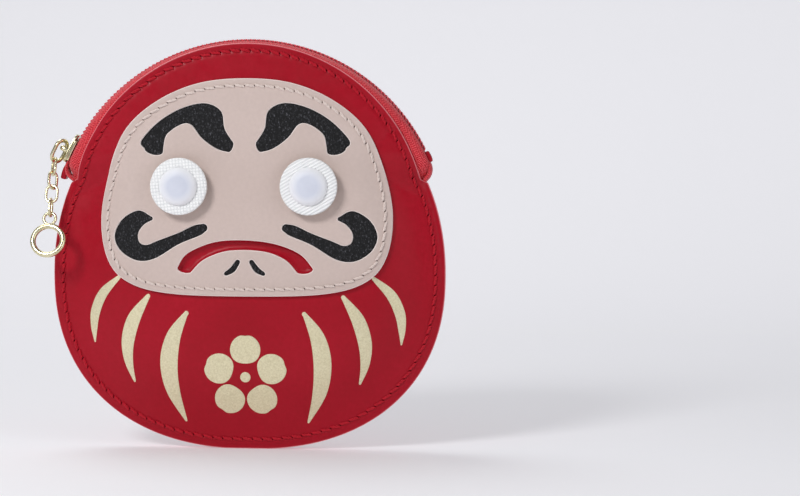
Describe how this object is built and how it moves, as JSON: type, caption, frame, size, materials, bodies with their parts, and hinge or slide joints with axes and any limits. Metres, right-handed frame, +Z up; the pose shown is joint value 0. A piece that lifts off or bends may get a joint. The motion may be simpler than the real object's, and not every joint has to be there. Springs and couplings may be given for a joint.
{
  "type": "daruma coin case",
  "caption": "Flat daruma-shaped leather coin case with a curved zip, a chain pull with a ring, a stitched face panel and press-stud eye discs.",
  "frame": {"origin": "middle of the small flat on the bottom rim, midway between the two panels", "axes": "+Z up with the case standing on its rim, +X to the right seen from the front, the face looks along -Y"},
  "size_m": [0.1155, 0.0228, 0.1152],
  "materials": {
    "red_leather": "smooth semi-gloss red leather with painted edges",
    "lining_fabric": "fine twill lining",
    "face_leather": "smooth pale beige leather",
    "black_leather": "black leather with a fine pressed grain",
    "gold_foil": "pale gold foil stamped on leather",
    "beige_thread": "twisted sewing thread",
    "red_thread": "twisted sewing thread",
    "zip_tape": "woven herringbone tape",
    "zip_coil": "dyed nylon coil",
    "gold_metal": "polished pale gold plating",
    "white_leather": "white embossed leather",
    "white_cap": "smooth glossy white cap"
  },
  "bodies": {
    "case": {"front_panel": "red_leather", "back_panel": "red_leather", "front_lining": "lining_fabric", "back_lining": "lining_fabric", "face_panel": "face_leather", "brow_left": "black_leather", "brow_right": "black_leather", "moustache_left": "black_leather", "moustache_right": "black_leather", "nostril_inlays": "black_leather", "gold_strokes_left": "gold_foil", "gold_strokes_right": "gold_foil", "gold_blossom": "gold_foil", "rim_stitching": "red_thread", "upper_stitching": "red_thread", "face_stitching": "beige_thread", "zip_tape_front": "zip_tape", "zip_tape_back": "zip_tape", "zip_teeth_front": "zip_coil", "zip_teeth_back": "zip_coil", "zip_end_tab_left": "red_leather", "zip_end_tab_right": "red_leather", "eye_stud_left": "gold_metal", "eye_stud_right": "gold_metal", "stud_back_left": "gold_metal", "stud_back_right": "gold_metal"},
    "slider": {"zip_slider": "gold_metal"},
    "loop": {"pull_loop": "gold_metal"},
    "link_1": {"chain_link_1": "gold_metal"},
    "link_2": {"chain_link_2": "gold_metal"},
    "link_3": {"chain_link_3": "gold_metal"},
    "link_4": {"chain_link_4": "gold_metal"},
    "ring": {"pull_ring": "gold_metal"},
    "eye_left": {"eye_socket_left": "gold_metal", "eye_disc_left": "white_leather", "eye_cap_left": "white_cap"},
    "eye_right": {"eye_socket_right": "gold_metal", "eye_disc_right": "white_leather", "eye_cap_right": "white_cap"}
  },
  "joints": [
    {"name": "zip_slide", "type": "hinge", "parent": "case", "child": "slider", "pos_m": [0, 0, 0.0595], "axis": [0, 1, 0], "range_deg": [0, 122.5], "deforming": ["zip_teeth_front", "zip_teeth_back"]},
    {"name": "loop_swing", "type": "hinge", "parent": "slider", "child": "loop", "pos_m": [-0.05159, 0, 0.08522], "axis": [-0.4462, 0, -0.8949], "range_deg": [0, 100]},
    {"name": "link_1_swing", "type": "hinge", "parent": "loop", "child": "link_1", "pos_m": [-0.05512, -0.00185, 0.08084], "axis": [-0.4874, -0.8387, 0.243], "range_deg": [-20, 20]},
    {"name": "link_2_swing", "type": "hinge", "parent": "link_1", "child": "link_2", "pos_m": [-0.05512, -0.00337, 0.07712], "axis": [-0.4695, 0.8163, -0.3365], "range_deg": [-15, 20]},
    {"name": "link_3_swing", "type": "hinge", "parent": "link_2", "child": "link_3", "pos_m": [-0.05512, -0.00495, 0.0733], "axis": [0.5299, 0.7841, -0.3232], "range_deg": [-20, 20]},
    {"name": "link_4_swing", "type": "hinge", "parent": "link_3", "child": "link_4", "pos_m": [-0.05512, -0.00653, 0.06947], "axis": [1, 0, 0], "range_deg": [-20, 20]},
    {"name": "ring_swing", "type": "hinge", "parent": "link_4", "child": "ring", "pos_m": [-0.05512, -0.00811, 0.06564], "axis": [0, 0.9245, -0.3811], "range_deg": [-20, 20]},
    {"name": "eye_left_pull", "type": "slide", "parent": "case", "child": "eye_left", "axis": [0, -1, 0], "range_m": [0, 0.008]},
    {"name": "eye_right_pull", "type": "slide", "parent": "case", "child": "eye_right", "axis": [0, -1, 0], "range_m": [0, 0.008]}
  ]
}
